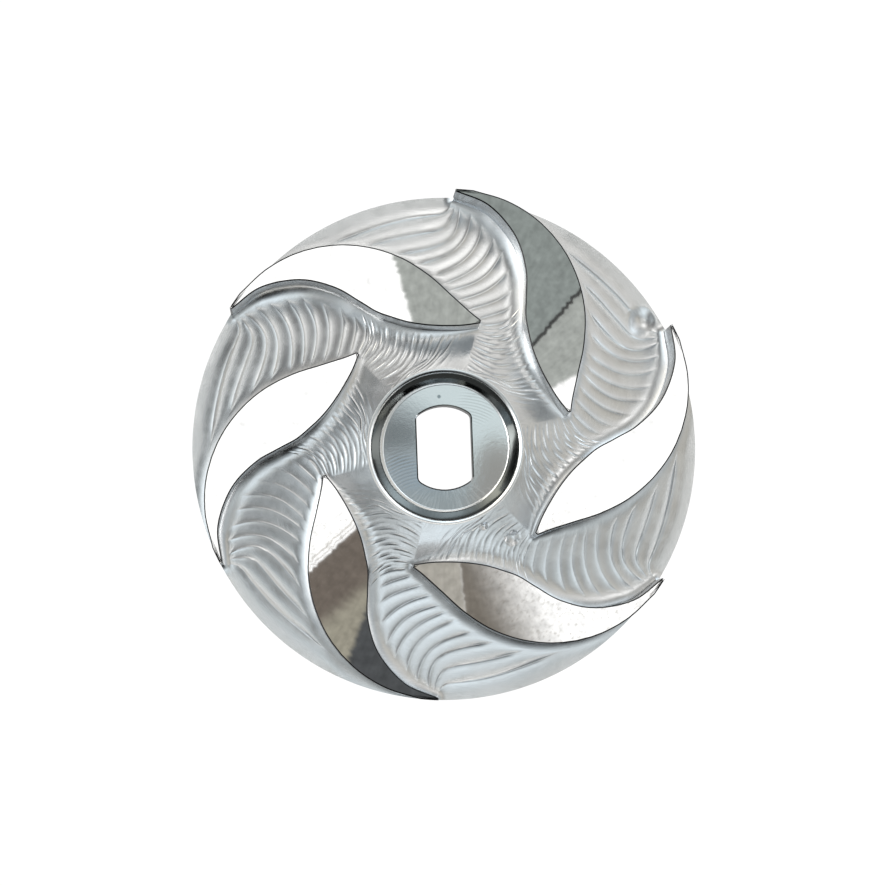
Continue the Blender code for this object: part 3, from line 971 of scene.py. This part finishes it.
def make_surroundings(camera_place):
    """Light the part with a soft studio and an overhead card with grey shapes."""
    world = bpy.data.worlds.new("surroundings")
    bpy.context.scene.world = world
    world.use_nodes = True
    nodes = Nodes(world.node_tree)
    direction = nodes.new("ShaderNodeTexCoord").outputs["Generated"]
    parts = nodes.new("ShaderNodeSeparateXYZ", None, i0=direction).outputs

    # Each direction of the sky is named by the place on the vane tops that mirrors it to the camera
    rise = nodes.math("MAXIMUM", parts[2], LEAST_RISE)
    camera_height = camera_place.z - VANE_TOP_HEIGHT
    x = nodes.add(nodes.times(nodes.math("DIVIDE", parts[0], rise), camera_height), camera_place.x)
    y = nodes.add(nodes.times(nodes.math("DIVIDE", parts[1], rise), camera_height), camera_place.y)
    reach = nodes.math("SQRT", nodes.add(nodes.times(x, x), nodes.times(y, y)))
    bearing = nodes.math("ARCTAN2", y, x)

    # Turning grooves shift the picture a little round the axis, and streaks run along them
    grooves = nodes.noise(nodes.vector(reach), 1.3, 2.0, 0.6)
    shift = nodes.spread(grooves, -GROOVE_SHIFT, GROOVE_SHIFT, smooth=False)
    streaks = nodes.vector(nodes.times(bearing, 60.0), nodes.times(reach, 0.35))
    streaks = nodes.noise(streaks, 1.0, 3.0, 0.6)
    shift_x = nodes.times(shift, y)
    shift_y = nodes.times(shift, x)
    x = nodes.math("SUBTRACT", x, shift_x)
    y = nodes.add(y, shift_y)
    mottle = nodes.noise(nodes.vector(x, y), 0.9, 4.0, 0.65)
    streak = nodes.spread(streaks, *STREAK_LEVELS, smooth=False)
    streak = nodes.times(streak, nodes.spread(mottle, *MOTTLE_LEVELS, smooth=False))

    tops = laid_over(nodes, x, y, hatched_white(nodes, x, y), DARK_SHAPES)
    tops = nodes.scaled_evenly(tops, streak)
    seat = laid_over(nodes, x, y, (*SEAT_TINT, 1.0), SEAT_SHAPES)
    overhead = nodes.mix(nodes.ramp(reach, *SEAT_TO_TOPS), seat, tops)
    under_card = nodes.ramp(reach, *CARD_TO_STUDIO, 1.0, 0.0)
    light = nodes.mix(under_card, soft_light(nodes, direction), overhead)
    looked_at = nodes.new("ShaderNodeLightPath").outputs["Is Camera Ray"]
    shown = nodes.mix(looked_at, light, BACKDROP)
    world.node_tree.links.new(shown, world.node_tree.nodes["Background"].inputs[0])


materials = [
    passes_metal("milled_channel", (0.92, 0.92, 0.91), (0.74, 0.74, 0.73), 0.2, 9000.0, 900.0, 0.003),
    # Painted shade: the vane walls are a darker copy of the channel's milled metal; their streaks are the
    # metal's own tone
    passes_metal("milled_wall_painted_shade", (0.6, 0.61, 0.62), (0.44, 0.45, 0.46), 0.28, 6000.0, 300.0, 0.004),
    metal("faced_top", (0.92, 0.92, 0.91), 0.01)[0],
    # Painted shade: the hub's sloping wall is aluminium given a near-black colour
    metal("turned_hub_painted_shade", (0.13, 0.14, 0.135), 0.1)[0],
    seat_metal("milled_seat", (0.9, 0.9, 0.9), 0.035),
    metal("turned_rim", (0.82, 0.82, 0.81), 0.25)[0],
    # Painted shade: the broken edges round the vane tops are near black, drawing a dark outline
    metal("broken_edge_painted_shade", (0.05, 0.05, 0.05), 0.4)[0],
    metal("turned_bead", (0.93, 0.93, 0.91), 0.2)[0],
]
piece = make_piece(build_shell(), "impeller_milled", materials)
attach(piece, "root")
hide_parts("impeller")
make_surroundings(make_camera())
make_floor()
bpy.context.scene.view_settings.view_transform = "Standard"
bpy.context.scene.view_settings.look = "None"
